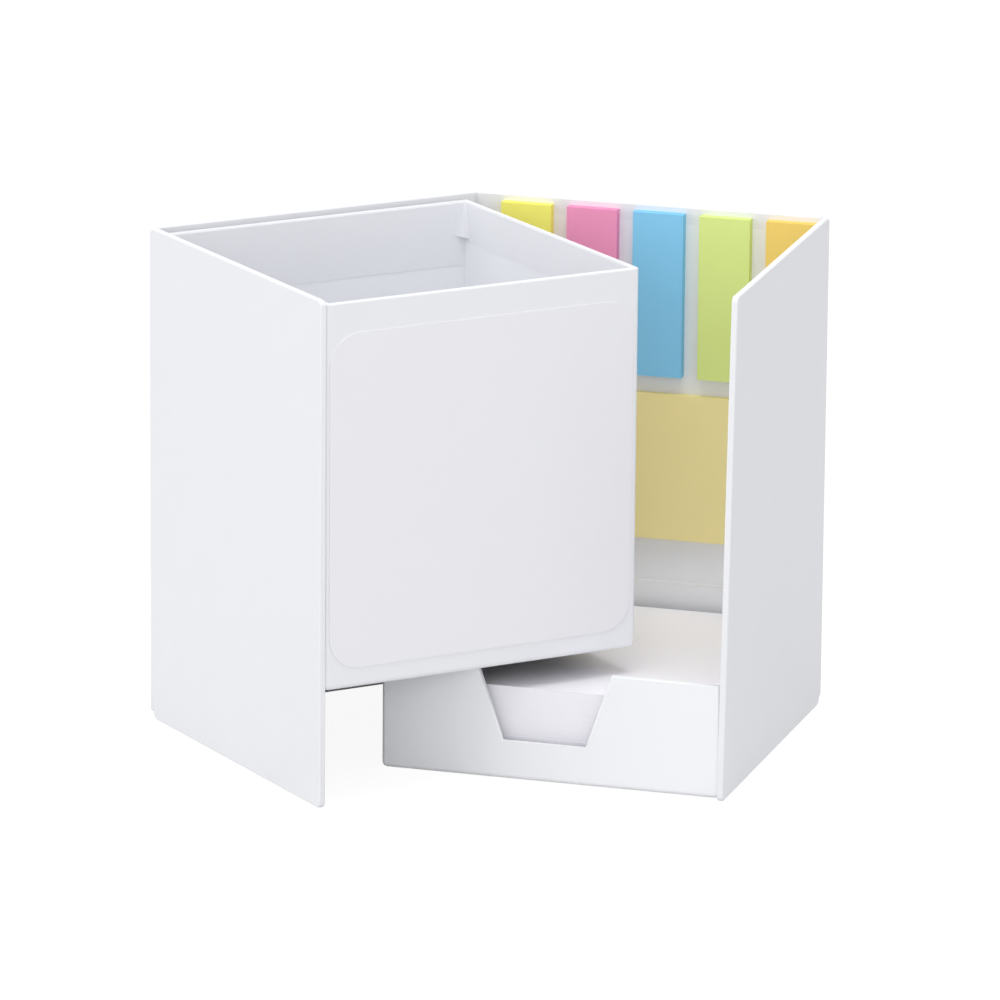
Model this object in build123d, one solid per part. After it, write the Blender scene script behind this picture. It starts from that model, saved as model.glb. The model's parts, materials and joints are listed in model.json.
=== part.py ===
from build123d import *
import os

# Driving dimensions, in millimetres and degrees

# Folding case, measured outside with the case closed
case_width = 85.0
case_depth = 85.0
case_height = 115.0
case_opening = 43.7

# Card, paper and the edges of the wrapped panels
board_thickness = 1.1
paper_thickness = 0.2
board_edge_round = 0.5
board_corner_round = 1.2
panel_turn_in = 4.0

# Paper folds between the panels
fold_gap = 0.15
fold_foot_lift = 1.4
fold_top_drop = 0.4

# Room that the folding pieces leave each other when the case is closed
door_clearance = 0.6
swing_clearance = 0.8

# Note tray, and the foot that it shares with the pen box
tray_height = 26.2
tray_side_gap = 3.4
tray_front_gap = 0.4
tray_turn_in = 10.0
box_foot_round = 1.0
base_paper_margin = 6.0
notch_top_width = 31.0
notch_bottom_width = 19.2
notch_depth = 17.3
notch_offset = -1.3

# Loose note sheets
note_stack_height = 19.1
note_side_clearance = 0.8
note_end_clearance = 2.3
note_floor_gap = 0.1

# Pads of sticky flags in a row along the top of the back panel
flag_colours = ("yellow", "pink", "blue", "green", "orange")
flag_height = 38.4
flag_thickness = 2.4
flag_spacing = 3.8
flag_top_margin = 1.4
flag_left_margin = 6.2
flag_right_margin = 0.6

# Sticky memo pad between the flags and the tray
memo_thickness = 2.0
memo_left_margin = 5.4
memo_top_gap = 4.2
memo_foot_gap = 10.3

# Pen box on the door
pen_box_side_gap = 2.2
pen_box_lift = 0.4
pen_box_drop = 0.9
pen_side_turn_in = 15.0
pen_end_turn_in = 9.5

# Whiteboard film on the pen box
film_thickness = 0.25
film_side_margin = 0.9
film_top_margin = 6.9
film_bottom_margin = 4.6
film_corner_radius = 7.5

# Sizes that follow from the driving dimensions
panel_thickness = board_thickness + 2 * paper_thickness
fold_radius = panel_thickness / 2
fold_reach = panel_thickness + fold_gap
wall_thickness = board_thickness + paper_thickness

# A rounded edge takes no more than this share of its board
EDGE_SHARE = 0.45
FOOT_SHARE = 0.9
edge_round = min(board_edge_round, EDGE_SHARE * board_thickness)

left = -case_width / 2
right = case_width / 2
front = -case_depth / 2
back = case_depth / 2
inner_left = left + panel_thickness
inner_right = right - panel_thickness
inner_front = front + panel_thickness
inner_back = back - panel_thickness

LOW_CORNER = (Align.MIN, Align.MIN, Align.MIN)


def block(x0, x1, y0, y1, z0, z1):
    """A plain block between two corners."""
    return Pos(x0, y0, z0) * Box(x1 - x0, y1 - y0, z1 - z0, align=LOW_CORNER)


def rounded_slab(length, thickness, height, edge, corner):
    """An upright slab from the origin, with rounded corners and rounded edges."""
    slab = Box(length, thickness, height, align=LOW_CORNER)
    slab = fillet(slab.edges().filter_by(Axis.Y), corner)
    faces = slab.faces().filter_by(Plane.XZ).sort_by(Axis.Y)
    return fillet(faces[0].edges() + faces[-1].edges(), edge)


def panel(length):
    """A wrapped panel from the origin: outer face at Y = 0, inner face towards +Y."""
    whole = rounded_slab(
        length,
        panel_thickness,
        case_height,
        edge_round + paper_thickness,
        board_corner_round + paper_thickness,
    )
    board = Pos(paper_thickness, paper_thickness, paper_thickness) * rounded_slab(
        length - 2 * paper_thickness,
        board_thickness,
        case_height - 2 * paper_thickness,
        edge_round,
        board_corner_round,
    )
    lining = block(
        panel_turn_in,
        length - panel_turn_in,
        paper_thickness + board_thickness,
        panel_thickness,
        panel_turn_in,
        case_height - panel_turn_in,
    )
    return {"board": board, "wrap": whole - board - lining, "lining": lining}


def paper_fold(x, y):
    """The rolled paper fold that closes a corner of the case, round the corner's axis."""
    ring = Circle(fold_radius) - Circle(fold_radius - 2 * paper_thickness)
    return Pos(x, y, fold_foot_lift) * extrude(ring, case_height - fold_foot_lift - fold_top_drop)


def notch_prism(x, y0, y1, z_top, allowance):
    """The thumb notch through a front wall, grown by an allowance on its sides and its foot."""
    half_top = notch_top_width / 2 + allowance
    half_foot = notch_bottom_width / 2 + allowance
    z_foot = z_top - notch_depth - allowance
    outline = Plane.XZ * make_face(
        Polyline(
            (x - half_top, z_top),
            (x - half_foot, z_foot),
            (x + half_foot, z_foot),
            (x + half_top, z_top),
            close=True,
        )
    )
    return extrude(Pos(0, y1, 0) * outline, y1 - y0)


def footed_block(x0, x1, y0, y1, z0, z1, edge, foot):
    """An upright block with rounded upright edges and a rounder edge round its foot."""
    solid = block(x0, x1, y0, y1, z0, z1)
    solid = fillet(solid.edges().filter_by(Axis.Z), edge)
    return fillet(solid.faces().sort_by(Axis.Z)[0].edges(), foot)


def wrapped_box(x0, x1, y0, y1, z0, z1, side_turn_in, end_turn_in, notched):
    """An open box of wall and floor boards in a paper wrap, turned in over the rim and under the foot."""
    skin = paper_thickness
    foot = min(box_foot_round, FOOT_SHARE * board_thickness)
    outer = footed_block(x0, x1, y0, y1, z0, z1, edge_round + skin, foot + skin)
    core = footed_block(
        x0 + skin, x1 - skin, y0 + skin, y1 - skin, z0 + skin, z1 - skin, edge_round, foot
    )

    # Inside faces of the wall boards, and the top of the floor board
    in_x0 = x0 + wall_thickness
    in_x1 = x1 - wall_thickness
    in_y0 = y0 + wall_thickness
    in_y1 = y1 - wall_thickness
    floor_top = z0 + skin + board_thickness

    boards = {
        "floor_board": core & block(x0, x1, y0, y1, z0, floor_top),
        "front_board": core & block(x0, x1, y0, in_y0, floor_top, z1),
        "back_board": core & block(x0, x1, in_y1, y1, floor_top, z1),
        "left_board": core & block(x0, in_x0, in_y0, in_y1, floor_top, z1),
        "right_board": core & block(in_x1, x1, in_y0, in_y1, floor_top, z1),
    }
    base_paper = block(
        x0 + base_paper_margin,
        x1 - base_paper_margin,
        y0 + base_paper_margin,
        y1 - base_paper_margin,
        z0,
        z0 + skin,
    )
    side_cavity = block(in_x0, in_x1, in_y0, in_y1, floor_top, z1 - side_turn_in)
    end_cavity = block(in_x0 + skin, in_x1 - skin, in_y0, in_y1, floor_top, z1 - end_turn_in)
    mouth = block(in_x0 + skin, in_x1 - skin, in_y0 + skin, in_y1 - skin, floor_top, z1)
    wrap = outer - base_paper - side_cavity - end_cavity - mouth
    if notched:
        notch_x = (x0 + x1) / 2 + notch_offset
        board_notch = notch_prism(notch_x, y0, in_y0, z1, skin)
        boards["front_board"] -= board_notch
        wrap -= notch_prism(notch_x, y0, in_y0 + skin, z1, 0)
    for board in boards.values():
        wrap -= board
    return {**boards, "wrap": wrap, "base_paper": base_paper}


def named(prefix, pieces):
    """The pieces of a sub-assembly under names that start with its own."""
    return {prefix + "_" + name: solid for name, solid in pieces.items()}


def place(location, pieces):
    """The pieces of a sub-assembly, all moved to one place."""
    return {name: location * solid for name, solid in pieces.items()}


# Back and right panels, with the fixed fold between them
back_panel = panel(case_width - 2 * fold_reach)
right_panel = panel(case_depth - fold_reach)
base = {
    **named("back", place(Pos(right - fold_reach, back, 0) * Rot(0, 0, 180), back_panel)),
    **named("right", place(Pos(right, front, 0) * Rot(0, 0, 90), right_panel)),
    "corner_fold": paper_fold(right - fold_radius, back - fold_radius),
}

# Note tray, glued to the back and right panels
tray_x0 = inner_left + tray_side_gap
tray_y0 = inner_front + tray_front_gap
tray = wrapped_box(
    tray_x0, inner_right, tray_y0, inner_back, 0, tray_height, tray_turn_in, tray_turn_in, True
)
base.update(named("tray", tray))

# Loose note sheets, standing in the tray
note_wall = wall_thickness + paper_thickness
note_z0 = paper_thickness + board_thickness + note_floor_gap
notes = {
    "note_sheets": block(
        tray_x0 + note_wall + note_side_clearance,
        inner_right - note_wall - note_side_clearance,
        tray_y0 + note_wall + note_end_clearance,
        inner_back - note_wall - note_end_clearance,
        note_z0,
        note_z0 + note_stack_height,
    )
}

# Sticky flags, which share the row between its margins
flag_top = case_height - flag_top_margin
flag_bottom = flag_top - flag_height
row_left = inner_left + flag_left_margin
row_right = inner_right - flag_right_margin
flag_pitch = (row_right - row_left + flag_spacing) / len(flag_colours)
flag_width = flag_pitch - flag_spacing
for index, colour in enumerate(flag_colours):
    flag_x = row_left + index * flag_pitch
    base["flags_" + colour] = block(
        flag_x,
        flag_x + flag_width,
        inner_back - flag_thickness,
        inner_back,
        flag_bottom,
        flag_top,
    )

# Memo pad, under the flags and level with the right end of their row
base["memo_pad"] = block(
    inner_left + memo_left_margin,
    row_right,
    inner_back - memo_thickness,
    inner_back,
    tray_height + memo_foot_gap,
    flag_bottom - memo_top_gap,
)

# Side panel, which swings about the fold at the rear left corner
rear_axis = (left + fold_radius, back - fold_radius)
front_axis = (left + fold_radius, front + fold_radius)
side_panel = panel(case_depth - 2 * fold_reach)
side = {
    **named("side", place(Pos(left, back - fold_reach, 0) * Rot(0, 0, -90), side_panel)),
    "rear_hinge_fold": paper_fold(*rear_axis),
}

# Door panel, which swings about the fold at the front left corner
door_panel = panel(inner_right - door_clearance - (left + fold_reach))
pen_unit = {
    **named("door", place(Pos(left + fold_reach, front, 0), door_panel)),
    "front_hinge_fold": paper_fold(*front_axis),
}

# Pen box, glued to the door and hanging over the tray
pad_depth = max(flag_thickness, memo_thickness)
pen_x0 = inner_left + pen_box_side_gap
pen_x1 = inner_right - door_clearance - film_thickness
pen_y1 = inner_back - pad_depth - swing_clearance
pen_z0 = tray_height + pen_box_lift
pen_z1 = case_height - pen_box_drop
pen_box = wrapped_box(
    pen_x0,
    pen_x1,
    inner_front,
    pen_y1,
    pen_z0,
    pen_z1,
    pen_side_turn_in,
    pen_end_turn_in,
    False,
)
pen_unit.update(named("pen_box", pen_box))

# Whiteboard film, on the pen box face that meets the right panel
film_outline = fillet(
    Rectangle(
        pen_y1 - inner_front - 2 * film_side_margin,
        pen_z1 - pen_z0 - film_top_margin - film_bottom_margin,
    ).vertices(),
    film_corner_radius,
)
film_y = (inner_front + pen_y1) / 2
film_z = (pen_z0 + film_bottom_margin + pen_z1 - film_top_margin) / 2
film_plane = Plane(origin=(pen_x1, film_y, film_z), x_dir=(0, 1, 0), z_dir=(1, 0, 0))
pen_unit["whiteboard_film"] = extrude(film_plane * film_outline, film_thickness)

# The side panel and the door unit stand open together about the rear fold
rear_turn = Pos(*rear_axis, 0) * Rot(0, 0, -case_opening) * Pos(-rear_axis[0], -rear_axis[1], 0)
parts = {**base, **notes, **place(rear_turn, side), **place(rear_turn, pen_unit)}

os.makedirs("parts", exist_ok=True)
for node, solid in parts.items():
    export_step(solid, "parts/" + node + ".step")
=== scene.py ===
import json
import math
import random

import bmesh
import bpy
from mathutils import Matrix, Vector


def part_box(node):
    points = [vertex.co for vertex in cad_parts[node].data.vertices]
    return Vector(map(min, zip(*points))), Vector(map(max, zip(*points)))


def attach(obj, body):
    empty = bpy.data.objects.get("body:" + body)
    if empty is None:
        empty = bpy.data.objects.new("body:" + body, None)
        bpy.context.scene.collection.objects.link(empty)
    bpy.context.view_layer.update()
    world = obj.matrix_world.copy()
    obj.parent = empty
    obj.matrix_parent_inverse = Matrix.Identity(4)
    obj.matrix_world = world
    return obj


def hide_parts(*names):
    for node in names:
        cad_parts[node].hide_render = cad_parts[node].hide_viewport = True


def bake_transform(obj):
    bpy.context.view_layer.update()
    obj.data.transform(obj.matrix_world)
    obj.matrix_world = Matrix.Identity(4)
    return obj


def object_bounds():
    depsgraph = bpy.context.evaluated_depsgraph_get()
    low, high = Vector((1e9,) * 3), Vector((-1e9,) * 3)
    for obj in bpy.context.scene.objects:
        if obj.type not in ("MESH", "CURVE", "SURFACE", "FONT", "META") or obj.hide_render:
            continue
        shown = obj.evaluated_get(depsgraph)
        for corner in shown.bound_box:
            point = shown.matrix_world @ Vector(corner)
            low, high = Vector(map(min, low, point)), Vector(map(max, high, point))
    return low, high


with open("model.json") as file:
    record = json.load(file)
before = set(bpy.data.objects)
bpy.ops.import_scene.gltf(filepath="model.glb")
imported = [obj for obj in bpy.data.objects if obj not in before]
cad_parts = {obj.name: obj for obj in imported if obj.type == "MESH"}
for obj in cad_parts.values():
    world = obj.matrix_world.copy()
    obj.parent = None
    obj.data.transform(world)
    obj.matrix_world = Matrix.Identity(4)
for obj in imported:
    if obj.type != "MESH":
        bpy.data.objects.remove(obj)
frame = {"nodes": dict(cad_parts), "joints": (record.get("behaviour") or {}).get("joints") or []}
cad_low, cad_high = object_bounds()

# Sizes of the wrapped panels, in metres
MM = 0.001
PANEL_ROUND = 0.7 * MM
FREE_CORNER = 1.3 * MM
HINGE_FOOT_CORNER = 2.0 * MM
HINGE_TOP_CORNER = 0.35 * MM
LINING_STEP = 0.03 * MM
LINING_CORNER = 0.6 * MM
RIGHT_SPLAY = 1.7 * MM
SPLAY_STATIONS = 10
CREASE_ANGLE = math.radians(30)
TOUCHING = 0.01 * MM

# Steps in the rounds of edges and corners
EDGE_SEGMENTS = 4
SHEET_EDGE_SEGMENTS = 2
CORNER_SEGMENTS = 6
FILM_CORNER_SEGMENTS = 12

# Sizes of the paper folds
FOLD_FOOT = 1.5 * MM
FOLD_TOP = 0.35 * MM
FOLD_END_RISE = 0.8 * MM
FOLD_END_INSET = 0.3 * MM
GROOVE_EDGE = 0.4 * MM
GROOVE_FLOOR = 0.15 * MM
FOLD_STEPS = 12
FOLD_END_STEPS = 4
FOLD_CREASE_ANGLE = math.radians(40)

# Sizes of the wrapped boxes
WALL = 1.42 * MM
BOX_FOOT_ROUND = 1.2 * MM
BOX_RIM_ROUND = 0.45 * MM
BOX_EDGE_ROUND = 0.95 * MM
DOOR_EDGE_ROUND = 1.1 * MM
HIDDEN_WALL = 1.0 * MM
HIDDEN_FLOOR = 1.0 * MM
TRAY_FLOOR = 1.35 * MM
NOTCH_TOP_WIDTH = 31.0 * MM
NOTCH_FOOT_WIDTH = 19.2 * MM
NOTCH_DEPTH = 17.3 * MM
NOTCH_OFFSET = -1.3 * MM
END_TURN_IN = 9.5 * MM
SIDE_TURN_IN = 15.0 * MM
TAB_DEPTH = 8.6 * MM
TAB_TOP_ROUND = 0.7 * MM
TAB_FOOT_ROUND = 2.4 * MM
TAB_FLAT = 0.8 * MM
TAB_SLANT = 0.7 * MM
TAB_PAPER = 0.12 * MM
TAB_STEPS = 6

# Whiteboard film
FILM_CORNER = 7.5 * MM
FILM_EDGE = 0.08 * MM
FILM_REAR_TRIM = 0.5 * MM

# Sheets of the paper pads
FLAG_SHEETS = 16
MEMO_SHEETS = 14
NOTE_SHEETS = 95
PAD_SCATTER = 0.04 * MM
NOTE_SCATTER = 0.06 * MM
MEMO_SEED = 11
NOTE_SEED = 12
FRONT_TO_BACK = 1
UPWARD = 2

# Texture of paper: features to the metre with their detail, and depths
CLOUDS = (120, 4)
FIBRES = (3200, 3)
WAVES = (35, 1)
WAVE_DEPTH = 0.3 * MM
FIBRE_DEPTH = 0.03 * MM
SHEEN_SPREAD = 0.06

# Camera that stands where the photograph was taken from
CAMERA_PLACE = Vector((490.3, -1682.0, 512.6)) * MM
CAMERA_AZIMUTH = math.radians(16.96)
CAMERA_ELEVATION = math.radians(14.64)
CAMERA_ROLL = math.radians(0.49)
CAMERA_LENS = 288.0
CAMERA_SENSOR = 36.0
CAMERA_REACH = 20.0

# The folds' axes, and how far the case stands open at rest
joints = {joint["name"]: joint for joint in frame["joints"]}
REAR_AXIS = Vector(joints["case_hinge"]["pos_m"])
FRONT_AXIS = Vector(joints["door_hinge"]["pos_m"])
OPENING = -math.radians(joints["case_hinge"]["range_deg"][0])
AT_REST = Matrix.Identity(4)
OPEN = (
    Matrix.Translation(REAR_AXIS)
    @ Matrix.Rotation(-OPENING, 4, "Z")
    @ Matrix.Translation(-REAR_AXIS)
)


def own_frame(node, turn=0, swing=AT_REST):
    """A node's own frame, with its origin at the node's low corner, and the node's size in it."""
    turned = swing @ Matrix.Rotation(math.radians(turn), 4, "Z")
    back = turned.inverted()
    points = [back @ vertex.co for vertex in frame["nodes"][node].data.vertices]
    low = Vector([min(point[axis] for point in points) for axis in range(3)])
    high = Vector([max(point[axis] for point in points) for axis in range(3)])
    return turned @ Matrix.Translation(low), high - low


# Mesh helpers


def rounded_outline(x0, x1, y0, y1, radii, segments=CORNER_SEGMENTS):
    """Points of a rectangle with rounded corners, anticlockwise from the lower left corner."""
    corners = (
        (x0 + radii[0], y0 + radii[0]),
        (x1 - radii[1], y0 + radii[1]),
        (x1 - radii[2], y1 - radii[2]),
        (x0 + radii[3], y1 - radii[3]),
    )
    points = []
    for corner, ((x, y), radius) in enumerate(zip(corners, radii)):
        for step in range(segments + 1):
            angle = math.radians(180 + 90 * corner + 90 * step / segments)
            points.append((x + radius * math.cos(angle), y + radius * math.sin(angle)))
    return points


def add_prism(bm, near_points, far_points):
    """A closed prism between two loops of points; returns its two loops of vertices."""
    near = [bm.verts.new(point) for point in near_points]
    far = [bm.verts.new(point) for point in far_points]
    bm.faces.new(near)
    bm.faces.new(far)
    for i in range(len(near)):
        j = (i + 1) % len(near)
        bm.faces.new((near[i], near[j], far[j], far[i]))
    return near, far


def add_block(bm, low, high):
    """A closed block between two corners."""
    loops = [
        [(low[0], low[1], z), (high[0], low[1], z), (high[0], high[1], z), (low[0], high[1], z)]
        for z in (low[2], high[2])
    ]
    return add_prism(bm, *loops)


def weigh_loop(bm, weights, loop, weight):
    """Gives the edges round a closed loop of vertices a share of the piece's edge round."""
    for i, vertex in enumerate(loop):
        edge = bm.edges.get((vertex, loop[(i + 1) % len(loop)]))
        edge[weights] = weight


def piece_from(bm, name, place=AT_REST, weights=None):
    """A linked object with smooth faces from a finished bmesh; sharp edges without a round stay creased."""
    bmesh.ops.recalc_face_normals(bm, faces=bm.faces)
    if weights is not None:
        for edge in bm.edges:
            edge.smooth = edge[weights] > 0 or edge.calc_face_angle() < CREASE_ANGLE
    mesh = bpy.data.meshes.new(name)
    bm.to_mesh(mesh)
    bm.free()
    mesh.transform(place)
    mesh.shade_smooth()
    piece = bpy.data.objects.new(name, mesh)
    bpy.context.scene.collection.objects.link(piece)
    return piece


def round_edges(piece, width, segments, limit="WEIGHT"):
    """Rounds the weighted edges of a piece, or all its sharp ones, and keeps its flat faces flat."""
    bevel = piece.modifiers.new("edge_round", "BEVEL")
    bevel.width = width
    bevel.segments = segments
    bevel.limit_method = limit
    bevel.harden_normals = True
    return piece


def dress(piece, slot, material, *nodes):
    """Gives a piece its material and lets it stand for its nodes, which it hides. The slot argument is not
    used.
    """
    piece.data.materials.append(material)
    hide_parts(*nodes)
    return piece


# Materials


def linear(red, green, blue):
    """A linear colour from the usual 0 to 255 screen values."""
    channels = []
    for value in (red, green, blue):
        share = value / 255
        channels.append(share / 12.92 if share <= 0.04045 else ((share + 0.055) / 1.055) ** 2.4)
    return (*channels, 1.0)


def noise_node(nodes, links, coordinates, scale, detail):
    """A noise texture in the piece's own coordinates; the scale counts features to the metre."""
    texture = nodes.new("ShaderNodeTexNoise")
    texture.inputs["Scale"].default_value = scale
    texture.inputs["Detail"].default_value = detail
    links.new(coordinates.outputs["Object"], texture.inputs["Vector"])
    return texture


def bump_node(nodes, links, height, strength, distance, below=None):
    """A layer of bump, over another one if that is given."""
    bump = nodes.new("ShaderNodeBump")
    bump.inputs["Strength"].default_value = strength
    bump.inputs["Distance"].default_value = distance
    links.new(height, bump.inputs["Height"])
    if below is not None:
        links.new(below.outputs["Normal"], bump.inputs["Normal"])
    return bump


def paper_material(name, colour, mottle=0.02, roughness=0.55, fibre=0.25, wave=0.25, specular=0.3):
    """Paper: a cloudy tone, fine fibres, and the faint unevenness of the card under it."""
    material = bpy.data.materials.new(name)
    material.use_nodes = True
    nodes = material.node_tree.nodes
    links = material.node_tree.links
    shader = nodes["Principled BSDF"]
    shader.inputs["Specular IOR Level"].default_value = specular
    coordinates = nodes.new("ShaderNodeTexCoord")

    clouds = noise_node(nodes, links, coordinates, *CLOUDS)
    fibres = noise_node(nodes, links, coordinates, *FIBRES)
    waves = noise_node(nodes, links, coordinates, *WAVES)

    tone = nodes.new("ShaderNodeMix")
    tone.data_type = "RGBA"
    shaded = [channel * (1 - mottle) for channel in colour[:3]]
    tone.inputs["A"].default_value = (*shaded, 1.0)
    tone.inputs["B"].default_value = colour
    links.new(clouds.outputs["Fac"], tone.inputs["Factor"])
    links.new(tone.outputs["Result"], shader.inputs["Base Color"])

    sheen = nodes.new("ShaderNodeMapRange")
    sheen.inputs["To Min"].default_value = roughness - SHEEN_SPREAD
    sheen.inputs["To Max"].default_value = roughness + SHEEN_SPREAD
    links.new(fibres.outputs["Fac"], sheen.inputs["Value"])
    links.new(sheen.outputs["Result"], shader.inputs["Roughness"])

    card = bump_node(nodes, links, waves.outputs["Fac"], wave, WAVE_DEPTH)
    surface = bump_node(nodes, links, fibres.outputs["Fac"], fibre, FIBRE_DEPTH, card)
    links.new(surface.outputs["Normal"], shader.inputs["Normal"])
    return material


def flag_material(colour_name, colour):
    """Dyed sticky-note paper."""
    name = "flag_" + colour_name + "_paper"
    return paper_material(name, linear(*colour), mottle=0.03, roughness=0.65, fibre=0.35, wave=0.1)


WRAP_PAPER = paper_material("white_wrap_paper", linear(241, 242, 246))
# A brighter copy of the white paper for the panel linings; on the tray's wrap its extra brightness is
# painted light that lifts the shade in and around the tray.
LINING_AND_PAINTED_LIGHT_PAPER = paper_material("white_lining_and_painted_light_paper", linear(247, 248, 251))
NOTE_PAPER = paper_material("note_paper", linear(250, 249, 255), roughness=0.7, fibre=0.4, wave=0.1)
LINED_BOARD = paper_material("lined_board", linear(249, 250, 254), mottle=0.04, roughness=0.65)
GREY_BOARD = paper_material("grey_board", linear(166, 161, 153), mottle=0.25, roughness=0.85, fibre=0.8)
FILM = paper_material(
    "whiteboard_film",
    linear(241, 241, 245),
    mottle=0.01,
    roughness=0.22,
    fibre=0.02,
    wave=0.12,
    specular=0.5,
)
MEMO_PAPER = paper_material(
    "memo_paper", linear(255, 240, 172), mottle=0.03, roughness=0.7, fibre=0.4, wave=0.15
)
FLAG_PAPERS = {
    "yellow": flag_material("yellow", (255, 250, 122)),
    "pink": flag_material("pink", (249, 157, 200)),
    "blue": flag_material("blue", (139, 210, 249)),
    "green": flag_material("green", (226, 244, 148)),
    "orange": flag_material("orange", (251, 217, 114)),
}

# Card that stays as it was cut: lined boards in the pen box, grey boards elsewhere, base papers
for node, solid in frame["nodes"].items():
    if node.startswith("pen_box") and node.endswith("board"):
        card = LINED_BOARD
    elif node.endswith("board"):
        card = GREY_BOARD
    else:
        card = WRAP_PAPER
    solid.data.materials.clear()
    solid.data.materials.append(card)

# Wrapped panels: body, turn of the panel's own frame, swing, and whether its two ends are folds
PANELS = {
    "back": ("base", 180, AT_REST, True, True),
    "right": ("base", 90, AT_REST, False, True),
    "side": ("side_panel", -90, OPEN, True, True),
    "door": ("pen_unit", 0, OPEN, True, False),
}


def panel_wrap(name, turn, swing, start_folds, end_folds):
    """A panel's wrap: a slab rounded on every edge but those that a fold carries on."""
    place, size = own_frame(name + "_wrap", turn, swing)
    radii = (
        HINGE_FOOT_CORNER if start_folds else FREE_CORNER,
        HINGE_FOOT_CORNER if end_folds else FREE_CORNER,
        HINGE_TOP_CORNER if end_folds else FREE_CORNER,
        HINGE_TOP_CORNER if start_folds else FREE_CORNER,
    )
    outline = rounded_outline(0, size.x, 0, size.z, radii)
    bm = bmesh.new()
    weights = bm.edges.layers.float.new("bevel_weight_edge")
    loops = add_prism(bm, [(u, 0, z) for u, z in outline], [(u, size.y, z) for u, z in outline])
    for loop in loops:
        weigh_loop(bm, weights, loop, 1.0)
    folded_ends = [0.0] * start_folds + [size.x] * end_folds
    for edge in bm.edges:
        along = [vertex.co.x for vertex in edge.verts]
        if any(max(abs(u - end) for u in along) < TOUCHING for end in folded_ends):
            edge[weights] = 0.0
    return round_edges(piece_from(bm, name + "_panel_wrap", place, weights), PANEL_ROUND, EDGE_SEGMENTS)


def panel_lining(name, turn, swing):
    """The lining sheet pasted over the turned-in border of a panel's wrap."""
    place, size = own_frame(name + "_lining", turn, swing)
    outline = rounded_outline(0, size.x, 0, size.z, [LINING_CORNER] * 4)
    bm = bmesh.new()
    add_prism(
        bm,
        [(u, 0, z) for u, z in outline],
        [(u, size.y + LINING_STEP, z) for u, z in outline],
    )
    lining = piece_from(bm, name + "_panel_lining", place)
    return round_edges(lining, LINING_STEP / 2, SHEET_EDGE_SEGMENTS, "ANGLE")


def splay(piece):
    """Cuts a piece of the right panel into a grid and leans its free edge outward towards the top."""
    low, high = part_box("right_wrap")
    bm = bmesh.new()
    bm.from_mesh(piece.data)
    for normal in (Vector((0, 1, 0)), Vector((0, 0, 1))):
        for step in range(1, SPLAY_STATIONS):
            station = low.lerp(high, step / SPLAY_STATIONS)
            whole = bm.verts[:] + bm.edges[:] + bm.faces[:]
            bmesh.ops.bisect_plane(bm, geom=whole, plane_co=station, plane_no=normal)
    for vertex in bm.verts:
        free = (high.y - vertex.co.y) / (high.y - low.y)
        vertex.co.x += RIGHT_SPLAY * free * vertex.co.z / high.z
    bm.to_mesh(piece.data)
    bm.free()


def right_panel_board():
    """The right panel's board, as it was cut."""
    board = bpy.data.objects.new("right_panel_board", frame["nodes"]["right_board"].data.copy())
    board.data.materials.clear()
    bpy.context.scene.collection.objects.link(board)
    return board


for name, (body, turn, swing, start_folds, end_folds) in PANELS.items():
    wrap = panel_wrap(name, turn, swing, start_folds, end_folds)
    lining = panel_lining(name, turn, swing)
    if name == "right":
        board = right_panel_board()
        for piece in (wrap, lining, board):
            splay(piece)
        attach(dress(board, "grey_board", GREY_BOARD, "right_board"), body)
    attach(dress(wrap, "white_paper", WRAP_PAPER, name + "_wrap"), body)
    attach(dress(lining, "white_paper", LINING_AND_PAINTED_LIGHT_PAPER, name + "_lining"), body)

# Paper folds: the outer paper rolls round the axis, the lining dips into the groove inside
back_low, back_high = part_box("back_wrap")
FOLD_RADIUS = back_high.y - REAR_AXIS.y
FOLD_REACH = back_low.x - REAR_AXIS.x


def fold_outline(normals, runs, inset):
    """The section of a fold about its axis, between the ends of its two panels."""
    radius = FOLD_RADIUS - inset
    turn = normals[0].angle(normals[1])
    points = [runs[0] * FOLD_REACH + normals[0] * radius]
    for step in range(FOLD_STEPS + 1):
        share = step / FOLD_STEPS
        first = math.sin((1 - share) * turn) / math.sin(turn)
        second = math.sin(share * turn) / math.sin(turn)
        points.append((normals[0] * first + normals[1] * second) * radius)
    points.append(runs[1] * FOLD_REACH + normals[1] * radius)
    inward = -(normals[0] + normals[1]).normalized()
    points.append(runs[1] * FOLD_REACH - normals[1] * GROOVE_EDGE)
    points.append(inward * GROOVE_FLOOR)
    points.append(runs[0] * FOLD_REACH - normals[0] * GROOVE_EDGE)
    return points


def paper_fold(name, axis, normals, runs, height):
    """A folded strip of paper along an axis, drawn in at its foot and its top."""
    levels = []
    for step in range(FOLD_END_STEPS + 1):
        angle = math.pi / 2 * step / FOLD_END_STEPS
        rise = FOLD_END_RISE * (1 - math.cos(angle))
        inset = FOLD_END_INSET * (1 - math.sin(angle))
        levels.append((FOLD_FOOT + rise, inset))
        levels.append((height - FOLD_TOP - rise, inset))
    levels.sort()
    bm = bmesh.new()
    rings = []
    for z, inset in levels:
        lift = Vector((axis.x, axis.y, z))
        rings.append([bm.verts.new(lift + point) for point in fold_outline(normals, runs, inset)])
    bm.faces.new(rings[0])
    bm.faces.new(rings[-1])
    for low, high in zip(rings, rings[1:]):
        for i in range(len(low)):
            j = (i + 1) % len(low)
            bm.faces.new((low[i], low[j], high[j], high[i]))
    piece = piece_from(bm, name)
    piece.data.set_sharp_from_angle(angle=FOLD_CREASE_ANGLE)
    return piece


def direction(x, y, swing=AT_REST):
    """A level direction, turned with the part of the case that it belongs to."""
    return swing.to_3x3() @ Vector((x, y, 0))


case_height = cad_high.z
corner_axis = Vector((-REAR_AXIS.x, REAR_AXIS.y, 0))
corner = paper_fold(
    "corner_fold_paper",
    corner_axis,
    (direction(0, 1), direction(1, 0)),
    (direction(-1, 0), direction(0, -1)),
    case_height,
)
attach(dress(corner, "white_paper", WRAP_PAPER, "corner_fold"), "base")

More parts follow.
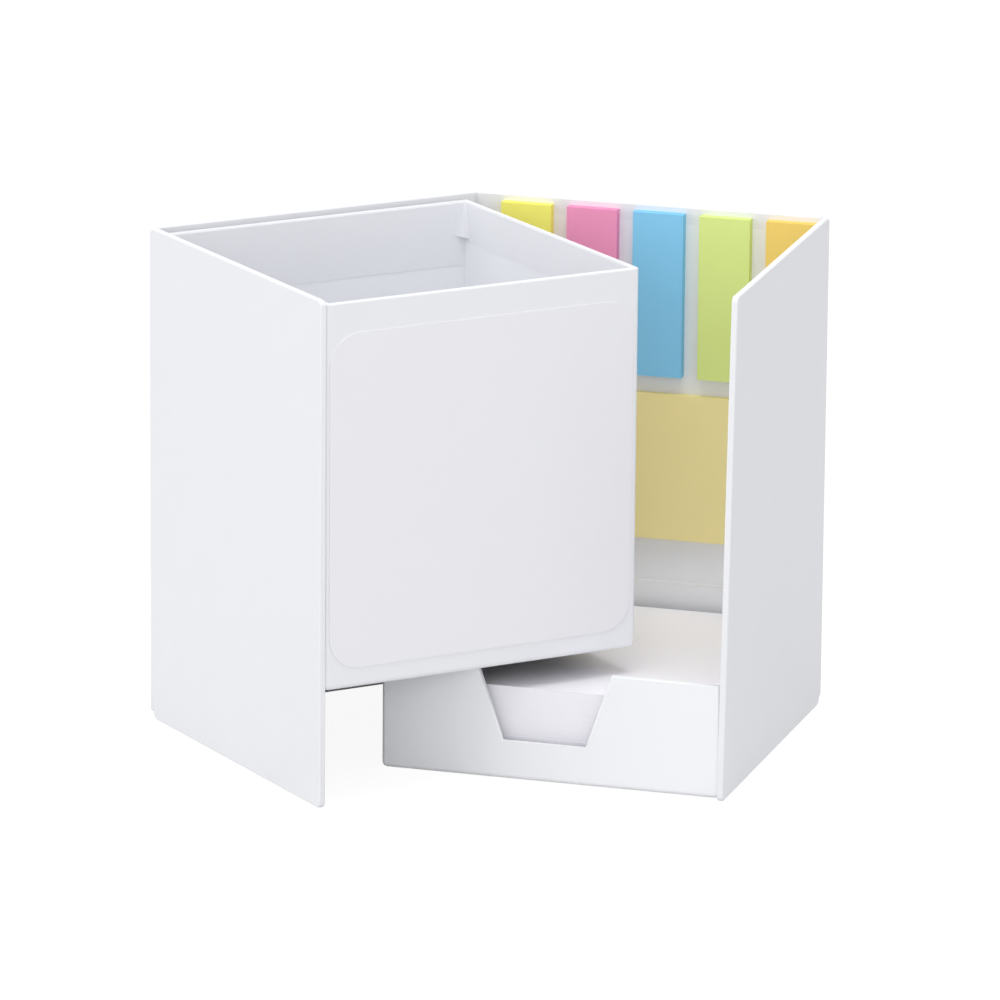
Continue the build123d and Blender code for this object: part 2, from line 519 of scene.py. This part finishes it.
rear_normals = (direction(0, 1), direction(-1, 0, OPEN))
rear_fold = paper_fold(
    "rear_hinge_paper",
    REAR_AXIS,
    rear_normals,
    (direction(1, 0), direction(0, -1, OPEN)),
    case_height,
)
dress(rear_fold, "white_paper", WRAP_PAPER, "rear_hinge_fold")
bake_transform(rear_fold)

front_normals = (direction(-1, 0, OPEN), direction(0, -1, OPEN))
front_fold = paper_fold(
    "front_hinge_paper",
    FRONT_AXIS,
    front_normals,
    (direction(0, 1, OPEN), direction(1, 0, OPEN)),
    case_height,
)
dress(front_fold, "white_paper", WRAP_PAPER, "front_hinge_fold")
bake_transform(front_fold)

# Wrapped boxes


def level_loop(bm, size, inset, z):
    """Four corners of a box at one height, drawn in from its outside."""
    return [
        bm.verts.new((inset, inset, z)),
        bm.verts.new((size.x - inset, inset, z)),
        bm.verts.new((size.x - inset, size.y - inset, z)),
        bm.verts.new((inset, size.y - inset, z)),
    ]


def bridge(bm, low, high, sides=(0, 1, 2, 3)):
    """Faces between two loops of four corners, on some of the sides."""
    for i in sides:
        j = (i + 1) % 4
        bm.faces.new((low[i], low[j], high[j], high[i]))


def box_round_weights(bm, weights, foot, rim_loops):
    """Edge rounds of a box: its foot, its upright edges and its rims."""
    weigh_loop(bm, weights, foot, 1.0)
    for vertex in foot:
        for edge in vertex.link_edges:
            if abs(edge.verts[0].co.z - edge.verts[1].co.z) > MM:
                edge[weights] = BOX_EDGE_ROUND / BOX_FOOT_ROUND
    for loop in rim_loops:
        weigh_loop(bm, weights, loop, BOX_RIM_ROUND / BOX_FOOT_ROUND)


def notched_loop(bm, corners, middle, y, z_top):
    """A rim loop with the thumb notch in its front side, and the notch's own four corners."""
    half_top = NOTCH_TOP_WIDTH / 2
    half_foot = NOTCH_FOOT_WIDTH / 2
    z_foot = z_top - NOTCH_DEPTH
    notch = [
        bm.verts.new((middle - half_top, y, z_top)),
        bm.verts.new((middle - half_foot, y, z_foot)),
        bm.verts.new((middle + half_foot, y, z_foot)),
        bm.verts.new((middle + half_top, y, z_top)),
    ]
    return [corners[0], *notch, *corners[1:]], notch


def tray_wrap():
    """The note tray's wrap: an open box with a thumb notch, its rim square against the two panels."""
    place, size = own_frame("tray_wrap")
    bm = bmesh.new()
    weights = bm.edges.layers.float.new("bevel_weight_edge")
    foot = level_loop(bm, size, 0, 0)
    rim = level_loop(bm, size, 0, size.z)
    mouth = level_loop(bm, size, WALL, size.z)
    well = level_loop(bm, size, WALL, TRAY_FLOOR)
    notch_x = size.x / 2 + NOTCH_OFFSET
    outer_loop, outer_notch = notched_loop(bm, rim, notch_x, 0, size.z)
    inner_loop, inner_notch = notched_loop(bm, mouth, notch_x, WALL, size.z)

    bm.faces.new(foot)
    bm.faces.new(well)
    bm.faces.new((foot[0], foot[1], rim[1], *reversed(outer_notch), rim[0]))
    bm.faces.new((well[0], well[1], mouth[1], *reversed(inner_notch), mouth[0]))
    bridge(bm, foot, rim, (1, 2, 3))
    bridge(bm, well, mouth, (1, 2, 3))
    bridge(bm, rim, mouth, (1, 2, 3))
    bm.faces.new((rim[0], outer_notch[0], inner_notch[0], mouth[0]))
    bm.faces.new((outer_notch[3], rim[1], mouth[1], inner_notch[3]))
    for i in range(3):
        bm.faces.new((outer_notch[i], outer_notch[i + 1], inner_notch[i + 1], inner_notch[i]))

    box_round_weights(bm, weights, foot, (outer_loop, inner_loop))
    for i in (1, 2):
        bm.edges.get((rim[i], rim[i + 1]))[weights] = 0.0
    return round_edges(piece_from(bm, "tray_paper_wrap", place, weights), BOX_FOOT_ROUND, EDGE_SEGMENTS)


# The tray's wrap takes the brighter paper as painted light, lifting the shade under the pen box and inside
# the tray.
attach(dress(tray_wrap(), "white_paper", LINING_AND_PAINTED_LIGHT_PAPER, "tray_wrap"), "base")


def pen_box_shell(size):
    """The pen box's wrap, turned in over the rim and pasted down inside; rounder along the door."""
    bm = bmesh.new()
    weights = bm.edges.layers.float.new("bevel_weight_edge")
    foot = level_loop(bm, size, 0, 0)
    rim = level_loop(bm, size, 0, size.z)
    mouth = level_loop(bm, size, WALL, size.z)
    turned = level_loop(bm, size, WALL, size.z - END_TURN_IN)
    behind = level_loop(bm, size, HIDDEN_WALL, size.z - END_TURN_IN)
    well = level_loop(bm, size, HIDDEN_WALL, HIDDEN_FLOOR)
    bm.faces.new(foot)
    bm.faces.new(well)
    loops = (foot, rim, mouth, turned, behind, well)
    for low, high in zip(loops, loops[1:]):
        bridge(bm, low, high)
    box_round_weights(bm, weights, foot, (rim, mouth))
    for low, high in zip(foot[:2], rim[:2]):
        bm.edges.get((low, high))[weights] = DOOR_EDGE_ROUND / BOX_FOOT_ROUND
    return bm, weights


def add_turn_ins(bm, size):
    """The deeper turn-ins of the two side walls, below the shell's own."""
    top = size.z - END_TURN_IN
    foot = size.z - SIDE_TURN_IN
    for x0 in (HIDDEN_WALL, size.x - WALL):
        x1 = x0 + WALL - HIDDEN_WALL
        add_block(bm, (x0, HIDDEN_WALL, foot), (x1, size.y - HIDDEN_WALL, top))


def tab_section(corner_x, corner_y, inward_x, inward_y, radius):
    """A paper tab seen from above: round the inside corner from the end wall, then flat on the side wall."""
    faces = []
    for depth in (0, TAB_PAPER):
        reach = radius - depth
        points = []
        for step in range(TAB_STEPS + 1):
            angle = math.pi / 2 * step / TAB_STEPS
            points.append((radius - reach * math.sin(angle), radius - reach * math.cos(angle)))
        points.append((depth, radius + TAB_FLAT))
        faces.append(points)
    outline = faces[0] + faces[1][::-1]
    return [(corner_x + inward_x * across, corner_y + inward_y * along, along) for across, along in outline]


def add_corner_tabs(bm, size):
    """Paper tabs folded round the inside corners from the end walls onto the side walls."""
    top = size.z - BOX_RIM_ROUND
    foot = size.z - TAB_DEPTH
    slope = TAB_SLANT / (TAB_FOOT_ROUND + TAB_FLAT)
    for corner_x, inward_x in ((WALL, 1), (size.x - WALL, -1)):
        for corner_y, inward_y in ((WALL, 1), (size.y - WALL, -1)):
            corner = (corner_x, corner_y, inward_x, inward_y)
            upper = [(x, y, top) for x, y, _ in tab_section(*corner, TAB_TOP_ROUND)]
            lower = [(x, y, foot + slope * along) for x, y, along in tab_section(*corner, TAB_FOOT_ROUND)]
            add_prism(bm, upper, lower)


def pen_box_wrap():
    """The pen box's wrap with its turn-ins and corner tabs."""
    place, size = own_frame("pen_box_wrap", swing=OPEN)
    bm, weights = pen_box_shell(size)
    add_turn_ins(bm, size)
    add_corner_tabs(bm, size)
    return round_edges(piece_from(bm, "pen_box_paper_wrap", place, weights), BOX_FOOT_ROUND, EDGE_SEGMENTS)


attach(dress(pen_box_wrap(), "white_paper", WRAP_PAPER, "pen_box_wrap"), "pen_unit")

# Whiteboard film on the pen box


def whiteboard_film():
    """A thin glossy sheet with round corners."""
    place, size = own_frame("whiteboard_film", swing=OPEN)
    outline = rounded_outline(0, size.y - FILM_REAR_TRIM, 0, size.z, [FILM_CORNER] * 4, FILM_CORNER_SEGMENTS)
    bm = bmesh.new()
    add_prism(bm, [(0, y, z) for y, z in outline], [(size.x, y, z) for y, z in outline])
    film = piece_from(bm, "whiteboard_film_sheet", place)
    return round_edges(film, FILM_EDGE, SHEET_EDGE_SEGMENTS, "ANGLE")


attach(dress(whiteboard_film(), "film", FILM, "whiteboard_film"), "pen_unit")

# Paper pads


def paper_pad(name, node, axis, sheets, scatter, seed):
    """A pad of separate sheets stacked along one axis, each a little out of line with the next."""
    place, size = own_frame(node)
    draw = random.Random(seed)
    step = size[axis] / sheets
    bm = bmesh.new()
    for index in range(sheets):
        low = Vector([draw.uniform(0, scatter) for _ in range(3)])
        high = size - Vector([draw.uniform(0, scatter) for _ in range(3)])
        low[axis] = index * step
        high[axis] = (index + 1) * step
        add_block(bm, low, high)
    piece = piece_from(bm, name, place)
    piece.data.shade_flat()
    return piece


for index, (colour, flag_paper) in enumerate(FLAG_PAPERS.items()):
    node = "flags_" + colour
    flags = paper_pad(node + "_pad", node, FRONT_TO_BACK, FLAG_SHEETS, PAD_SCATTER, index)
    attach(dress(flags, "flag_" + colour, flag_paper, node), "base")

memo = paper_pad("memo_pad_sheets", "memo_pad", FRONT_TO_BACK, MEMO_SHEETS, PAD_SCATTER, MEMO_SEED)
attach(dress(memo, "memo_yellow", MEMO_PAPER, "memo_pad"), "base")

notes = paper_pad("loose_note_sheets", "note_sheets", UPWARD, NOTE_SHEETS, NOTE_SCATTER, NOTE_SEED)
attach(dress(notes, "note_paper", NOTE_PAPER, "note_sheets"), "note_stack")

# Floor, which looks white to the camera and keeps the object's shadow
FLOOR_HALF = 3.0
FLOOR_DROP = 0.05 * MM
FLOOR_GLOW = 0.93
FLOOR_SHADE = 0.11
FLOOR_BOUNCE = 0.66


def seen_directly(nodes, links):
    """One for rays from the camera, from mirrors and through glass, and nothing for the rest."""
    path = nodes.new("ShaderNodeLightPath")
    total = path.outputs["Is Camera Ray"]
    for ray in ("Is Glossy Ray", "Is Transmission Ray"):
        larger = nodes.new("ShaderNodeMath")
        larger.operation = "MAXIMUM"
        links.new(total, larger.inputs[0])
        links.new(path.outputs[ray], larger.inputs[1])
        total = larger.outputs["Value"]
    return total


def floor_material():
    """A pale floor: white where it is looked at, with the shadow left in, and plain to other rays."""
    material = bpy.data.materials.new("pale_floor")
    material.use_nodes = True
    nodes = material.node_tree.nodes
    links = material.node_tree.links
    nodes.remove(nodes["Principled BSDF"])
    glow = nodes.new("ShaderNodeEmission")
    glow.inputs["Color"].default_value = (1, 1, 1, 1)
    glow.inputs["Strength"].default_value = FLOOR_GLOW
    shade = nodes.new("ShaderNodeBsdfDiffuse")
    shade.inputs["Color"].default_value = (FLOOR_SHADE, FLOOR_SHADE, FLOOR_SHADE, 1)
    looked_at = nodes.new("ShaderNodeAddShader")
    links.new(glow.outputs["Emission"], looked_at.inputs[0])
    links.new(shade.outputs["BSDF"], looked_at.inputs[1])
    bounce = nodes.new("ShaderNodeBsdfDiffuse")
    bounce.inputs["Color"].default_value = (FLOOR_BOUNCE, FLOOR_BOUNCE, FLOOR_BOUNCE, 1)
    either = nodes.new("ShaderNodeMixShader")
    links.new(seen_directly(nodes, links), either.inputs["Fac"])
    links.new(bounce.outputs["BSDF"], either.inputs[1])
    links.new(looked_at.outputs["Shader"], either.inputs[2])
    links.new(either.outputs["Shader"], nodes["Material Output"].inputs["Surface"])
    return material


floor_mesh = bpy.data.meshes.new("floor")
floor_signs = ((-1, -1), (1, -1), (1, 1), (-1, 1))
floor_corners = [(x * FLOOR_HALF, y * FLOOR_HALF, -FLOOR_DROP) for x, y in floor_signs]
floor_mesh.from_pydata(floor_corners, [], [(0, 1, 2, 3)])
floor_mesh.materials.append(floor_material())
floor = bpy.data.objects.new("floor", floor_mesh)
bpy.context.scene.collection.objects.link(floor)

# Light: an even white room and wide lamps, each with its place and size in metres and its watts
ROOM_LIGHT = 0.77
LAMPS = {
    "overhead_lamp": ((0.05, -0.2, 1.35), 0.7, 6.3),
    "left_lamp": ((-1.2, -0.9, 0.6), 0.9, 3.4),
    "front_lamp": ((0.3, -1.4, 0.3), 0.8, 3.0),
}


def white_room():
    """A white surround that is seen as plain white and lights the object a little less than that."""
    world = bpy.data.worlds.new("white_room")
    bpy.context.scene.world = world
    world.use_nodes = True
    nodes = world.node_tree.nodes
    links = world.node_tree.links
    room = nodes["Background"]
    room.inputs["Color"].default_value = (1, 1, 1, 1)
    room.inputs["Strength"].default_value = ROOM_LIGHT
    seen = nodes.new("ShaderNodeBackground")
    seen.inputs["Color"].default_value = (1, 1, 1, 1)
    seen.inputs["Strength"].default_value = 1.0
    either = nodes.new("ShaderNodeMixShader")
    links.new(seen_directly(nodes, links), either.inputs["Fac"])
    links.new(room.outputs["Background"], either.inputs[1])
    links.new(seen.outputs["Background"], either.inputs[2])
    links.new(either.outputs["Shader"], nodes["World Output"].inputs["Surface"])


def soft_lamp(name, place, target, size, watts):
    """A square soft lamp that faces a point."""
    lamp = bpy.data.lights.new(name, "AREA")
    lamp.size = size
    lamp.energy = watts
    light = bpy.data.objects.new(name, lamp)
    light.location = place
    light.rotation_euler = (Vector(target) - Vector(place)).to_track_quat("-Z", "Y").to_euler()
    bpy.context.scene.collection.objects.link(light)


white_room()
for name, (place, size, watts) in LAMPS.items():
    soft_lamp(name, place, (cad_low + cad_high) / 2, size, watts)

# Camera


def photo_camera():
    """A long lens at the photograph's angle."""
    azimuth, elevation = CAMERA_AZIMUTH, CAMERA_ELEVATION
    forward = -Vector(
        (
            math.sin(azimuth) * math.cos(elevation),
            -math.cos(azimuth) * math.cos(elevation),
            math.sin(elevation),
        )
    )
    level = forward.cross(Vector((0, 0, 1))).normalized()
    upright = level.cross(forward)
    across = math.cos(CAMERA_ROLL) * level + math.sin(CAMERA_ROLL) * upright
    up = math.cos(CAMERA_ROLL) * upright - math.sin(CAMERA_ROLL) * level
    lens = bpy.data.cameras.new("photo_camera")
    lens.lens = CAMERA_LENS
    lens.sensor_width = CAMERA_SENSOR
    lens.clip_end = CAMERA_REACH
    camera = bpy.data.objects.new("photo_camera", lens)
    facing = Matrix((across, up, -forward)).transposed().to_4x4()
    camera.matrix_world = Matrix.Translation(CAMERA_PLACE) @ facing
    bpy.context.scene.collection.objects.link(camera)
    bpy.context.scene.camera = camera


photo_camera()
bpy.context.scene.view_settings.view_transform = "Standard"
